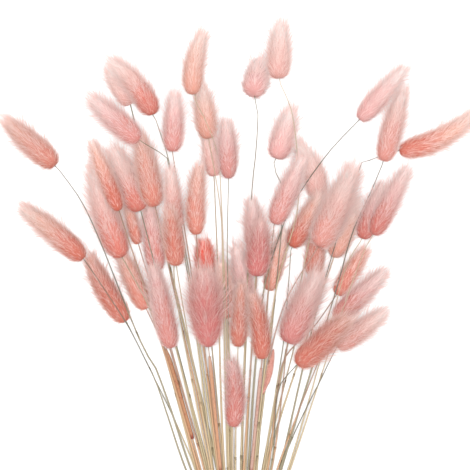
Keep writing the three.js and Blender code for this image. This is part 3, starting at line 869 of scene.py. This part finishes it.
class Mixer:
    """Adds shader nodes to one material."""

    def __init__(self, name):
        self.material = bpy.data.materials.new(name)
        self.material.use_nodes = True
        self.nodes = self.material.node_tree.nodes
        self.links = self.material.node_tree.links
        self.shader = self.nodes["Principled BSDF"]

    def put(self, socket, value):
        """Gives a socket a value, or links it to another node's."""
        if isinstance(value, bpy.types.NodeSocket):
            self.links.new(value, socket)
        else:
            socket.default_value = value

    def coat(self, colour, roughness):
        """Gives the material its colour and roughness."""
        self.put(self.shader.inputs["Base Color"], colour)
        self.put(self.shader.inputs["Roughness"], roughness)
        return self.material

    def maths(self, operation, first, second=0.0, third=0.0):
        node = self.nodes.new("ShaderNodeMath")
        node.operation = operation
        for socket, value in zip(node.inputs, (first, second, third)):
            self.put(socket, value)
        return node.outputs[0]

    def map_place(self):
        """Along and across on the piece's own map."""
        spot = self.nodes.new("ShaderNodeUVMap")
        spot.uv_map = "OFBake"
        split = self.nodes.new("ShaderNodeSeparateXYZ")
        self.links.new(spot.outputs[0], split.inputs[0])
        return split.outputs[0], split.outputs[1]

    def ramp(self, factor, stops):
        """A colour that runs through the stops, which are pairs of a place and a colour."""
        node = self.nodes.new("ShaderNodeValToRGB")
        self.links.new(factor, node.inputs[0])
        band = node.color_ramp
        while len(band.elements) > 1:
            band.elements.remove(band.elements[-1])
        band.elements[0].position = stops[0][0]
        band.elements[0].color = stops[0][1]
        for position, colour in stops[1:]:
            band.elements.new(position).color = colour
        return node.outputs[0]

    def streaks(self, along, times_along, around, times_around, detail):
        """Noise on the piece's map, as fine along it and round it as the two numbers say."""
        place = self.nodes.new("ShaderNodeCombineXYZ")
        self.put(place.inputs[0], self.maths("MULTIPLY", along, times_along))
        self.put(place.inputs[1], self.maths("MULTIPLY", around, times_around))
        node = self.nodes.new("ShaderNodeTexNoise")
        node.noise_dimensions = "2D"
        self.links.new(place.outputs[0], node.inputs["Vector"])
        node.inputs["Scale"].default_value = 1.0
        node.inputs["Detail"].default_value = detail
        return node.outputs[0]

    def times(self, colour, strength):
        node = self.nodes.new("ShaderNodeVectorMath")
        node.operation = "SCALE"
        self.put(node.inputs[0], colour)
        self.put(node.inputs["Scale"], strength)
        return node.outputs[0]

    def blend(self, share, first, second):
        node = self.nodes.new("ShaderNodeMix")
        node.data_type = "RGBA"
        self.put(node.inputs[0], share)
        self.put(node.inputs[6], first)
        self.put(node.inputs[7], second)
        return node.outputs[2]


def fur_finish(name, painted_light, deep, low, middle, end):
    """Dyed fur: deep at its base, paler to its tip, and each hair paler towards its end: partly its own
    colour, partly painted rim glow.
    """
    mix = Mixer(name)
    along, rest = mix.map_place()
    band = mix.maths("MULTIPLY", rest, TONES / FUR_PART)
    up_hair = mix.maths("FRACT", band)
    tone = mix.maths("FLOOR", band)
    colour = mix.ramp(along, [(0.0, deep), (0.1, deep), (0.32, low), (0.62, middle), (1.0, end)])
    by_height = mix.maths("MULTIPLY", mix.maths("POWER", up_hair, HAIR_PALES_LATE), HAIR_PALER)
    paling = mix.maths("MULTIPLY_ADD", tone, TONE_PALER / HUSK_TONE, by_height)
    paling = mix.maths("MULTIPLY", paling, mix.ramp(along, [(0.0, HALFWAY), (0.45, WHITE)]))
    husk = mix.maths("GREATER_THAN", tone, HUSK_TONE - 0.5)
    wisp = mix.maths("SUBTRACT", mix.maths("GREATER_THAN", tone, WISP_TONE - 0.5), husk)
    # Partly painted light: wisps are lifted towards a pale colour so that fuzz lying in shade between heads
    # stays light
    colour = mix.blend(mix.maths("MULTIPLY", wisp, WISP_SHARE), colour, WISP_COLOUR)
    paling = mix.maths("MAXIMUM", paling, mix.maths("MULTIPLY", husk, HUSK_SHARE))
    # Partly painted light: each hair pales towards its end, like a glow of light through the fuzz at the rims
    colour = mix.blend(paling, colour, HAIR_END_AND_RIM_GLOW_COLOUR)
    mix.put(mix.shader.inputs["Specular IOR Level"], 0.2)
    mix.put(mix.shader.inputs["Subsurface Weight"], 0.6)
    mix.put(mix.shader.inputs["Subsurface Radius"], (1.0, 0.7, 0.65))
    mix.put(mix.shader.inputs["Subsurface Scale"], 0.3 * MM)
    # Painted light: the colour is scaled by its layer's brightness, paler for the lower heads that lie in
    # shade
    return mix.coat(mix.times(colour, painted_light), roughness=0.85)


def stem_finish(name, cut, low, high, joint):
    """Dried straw with fine streaks along it and darker joints."""
    mix = Mixer(name)
    along, around = mix.map_place()
    stops = [(0.0, cut), (0.02, low)]
    for place in JOINTS:
        stops += [(place - JOINT_STAIN, low), (place, joint), (place + JOINT_STAIN, low)]
    # Partly painted light: the lower length is paler, to offset the shade between the stems of the bundle
    colour = mix.ramp(along, stops + [(0.7, high), (1.0, high)])
    streaks = mix.streaks(along, 26.0, around, 170.0, detail=3.0)
    strength = mix.maths("MULTIPLY_ADD", streaks, 0.35, 0.82)
    return mix.coat(mix.times(colour, strength), roughness=0.55)


def leaf_finish(name, foot, blade, end, spot):
    """A dried leaf: fine ribs along it, darker spots, and a dark ring at its foot."""
    mix = Mixer(name)
    along, around = mix.map_place()
    colour = mix.ramp(along, [(0.0, foot), (0.03, foot), (0.07, blade), (0.8, blade), (0.97, end)])
    ribs = mix.streaks(along, 6.0, around, 250.0, detail=2.0)
    spots = mix.maths("GREATER_THAN", mix.streaks(along, 34.0, around, 50.0, detail=2.0), 0.62)
    colour = mix.blend(mix.maths("MULTIPLY", spots, 0.7), colour, spot)
    strength = mix.maths("MULTIPLY_ADD", ribs, 0.5, 0.75)
    return mix.coat(mix.times(colour, strength), roughness=0.7)


def twine_finish(name, pale, dark):
    """Jute: fine fibres that follow each twisted ply."""
    mix = Mixer(name)
    along, around = mix.map_place()
    fibres = mix.streaks(along, 60.0, around, 22.0, detail=3.0)
    share = mix.ramp(fibres, [(0.3, BLACK), (0.7, WHITE)])
    return mix.coat(mix.blend(share, dark, pale), roughness=0.9)


# Stalks

stem_shape = model_stem()
core_shape = model_core()
leaf_shape = model_leaf()
sheath_shape = model_tube(sections=24, sides=10)
short_hair = model_short_hair()
long_hair = model_long_hair()

fur = {}
straw = {name: stem_finish(name, *colours) for name, colours in STRAW_COLOURS.items()}
leaves = {number: leaf_finish(name, *LEAF_COLOURS[name]) for number, name in LEAVES.items()}

slots = {part["node"]: part["material_slot"] for part in frame["record"]["subparts"]}
names = sorted(name for name in frame["nodes"] if name.startswith("stalk_"))
stalks = {name: read_stalk(name) for name in names}
areas = {name: stalk["radius"] * head_length(stalk) for name, stalk in stalks.items()}
total_area = sum(areas.values())

bounds_before = [list(corner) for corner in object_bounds()]
room_low = np.array(bounds_before[0]) - HAIR_ROOM
room_low[2] = LOWEST
room_high = np.array(bounds_before[1]) + HAIR_ROOM

for number, name in enumerate(names, 1):
    stalk = stalks[name]
    stalk["power"], plumper, stalk["tip_hair"] = BLUNT_HEADS.get(number, (WIDEST_POWER, 1.0, 1.0))
    stalk["radius"] *= plumper
    rng = np.random.default_rng(SEED + number)
    slot = slots[name]
    share = areas[name] / total_area
    way_dyed = group_of(number, HEADS_DYED, "usual")
    dye = DYES[way_dyed]
    axis_at = axis_of(stalk)
    patch = Patch()
    add_core(patch, core_shape, stalk, axis_at, rng, dye)
    counts = (int(count * share) for count in (HUSKS, FUR_HAIRS, WISPS, LONG_WISPS))
    add_fur(patch, stalk, axis_at, rng, dye, PALING.get(way_dyed, 1.0), *counts)
    add_stem(patch, stem_shape, stalk, rng, number in SLIM_STEMS)
    if number in SHEATHS:
        add_sheath(patch, sheath_shape, stalk, *SHEATHS[number])
    if number == LEAFED:
        add_leaf(patch, leaf_shape, stalk, *LEAF_SPAN, LEAF_WIDTH)
    tint = group_of(number, HEADS_TINTED, slot.split("_")[0])
    layer = group_of(number, LAYERS, "top")
    # Painted light: each layer has its own lit or shaded copy of a tint's fur
    if (tint, layer) not in fur:
        fur[tint, layer] = fur_finish(f"{tint} fur {layer}", LAYER_PAINTED_LIGHT[layer], *FUR_COLOURS[tint])
    finishes = [fur[tint, layer], straw[group_of(number, STEMS_TINTED, "straw")]]
    if number in leaves:
        finishes.append(leaves[number])
    piece = patch.piece(f"bunny_tail_stalk_{number:02d}", finishes)
    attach(piece, "root")
    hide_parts(name)

# The twine tie

solid = np.array([vertex.co[:] for vertex in frame["nodes"]["twine_tie"].data.vertices])
tie_middle = np.mean([stalk["line"][0] for stalk in stalks.values()], axis=0) + [0, TAIL, 0]
near_middle = np.abs(solid[:, 1] - tie_middle[1]) < SOLID_TURNS_REACH
ring = solid[near_middle & (solid[:, 2] < SOLID_TURNS_TOP)]
outside = (ring[:, 0].max() - ring[:, 0].min()) / 2
tie_middle[0] = (ring[:, 0].max() + ring[:, 0].min()) / 2
tie_middle[2] = outside - PRESSED_FLAT
winding = outside - TWINE_RADIUS

rng = np.random.default_rng(SEED)
angle = np.linspace(0.5 * np.pi, (2 * TURNS + 0.5) * np.pi, POINTS_A_TURN * TURNS)
wander = rng.normal(0, TURN_WANDER, len(angle)) * MM
coil = np.stack([
    winding * np.cos(angle),
    (angle - angle.mean()) / (2 * np.pi) * TURN_PITCH + wander,
    winding * np.sin(angle),
], 1)

# The knot's two strands with their loose ends, in millimetres from a place just above the turns
knot_middle = tie_middle + np.array([0, 0, winding + KNOT_HEIGHT * TWINE_RADIUS])
knot_and_ends = [
    np.array([(-2.2, -0.4, -1.6), (-2.0, 0.9, -0.2), (0.2, 1.5, 0.8), (2.1, 0.2, 0.6), (0.9, -1.3, 0.4),
              (-1.5, -1.4, 0.7), (-4.6, -3.2, 0.4), (-9, -5, -1.2), (-13, -4, -5)]),
    np.array([(2.2, 0.4, -1.6), (2.0, -0.9, -0.2), (-0.2, -1.2, 1.3), (-2.3, 0.3, 1.0), (-0.9, 1.5, 1.0),
              (1.5, 1.6, 0.9), (4.4, 3.2, 0.5), (9, 9, -1.2), (13, 14, -5)]),
]
tie = Patch()
wind_strand(tie, model_tube(TURN_SECTIONS, PLY_SIDES), tie_middle + coil)
knot_shape = model_tube(KNOT_SECTIONS, PLY_SIDES)
for places in knot_and_ends:
    wind_strand(tie, knot_shape, knot_middle + places * MM)
twine = tie.piece("twine_tie_wound", [twine_finish("jute", srgb(176, 148, 108), srgb(118, 88, 58))])
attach(twine, "root")
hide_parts("twine_tie")

# Surface, light and camera


def soft_light(name, place, size, power):
    """A round lamp that is turned to the middle of the scene."""
    clear_selection()
    bpy.ops.object.light_add(type="AREA", location=place)
    light = bpy.context.object
    light.name = name
    light.data.shape = "DISK"
    light.data.size = size
    light.data.energy = power
    light.rotation_euler = (-Vector(place)).to_track_quat("-Z", "Y").to_euler()


clear_selection()
bpy.ops.mesh.primitive_plane_add(size=6, location=(0, 0, 0))
surface = bpy.context.object
surface.name = "pale_surface"
surface.data.materials.append(Mixer("pale surface").coat(SURFACE_COLOUR, roughness=0.9))

soft_light("softbox", place=(0.0, 0.08, 5.6), size=0.7, power=466)
soft_light("key", place=(-0.9, 1.1, 2.2), size=1.8, power=8)
world = bpy.context.scene.world or bpy.data.worlds.new("studio")
bpy.context.scene.world = world
world.use_nodes = True
background = world.node_tree.nodes["Background"]
background.inputs["Color"].default_value = WHITE
background.inputs["Strength"].default_value = 0.6
bpy.context.scene.view_settings.view_transform = "Standard"

clear_selection()
picture_x = tie_middle[0] + PICTURE_MIDDLE[0]
picture_y = tie_middle[1] + PICTURE_MIDDLE[1]
bpy.ops.object.camera_add(
    location=(picture_x, picture_y, CAMERA_HEIGHT + HEIGHT_IN_FOCUS), rotation=(0, 0, 0)
)
camera = bpy.context.object
camera.name = "camera"
camera.data.lens = camera.data.sensor_width * CAMERA_HEIGHT / PICTURE_SPAN
camera.data.clip_start = 0.5
camera.data.clip_end = 30
bpy.context.scene.camera = camera
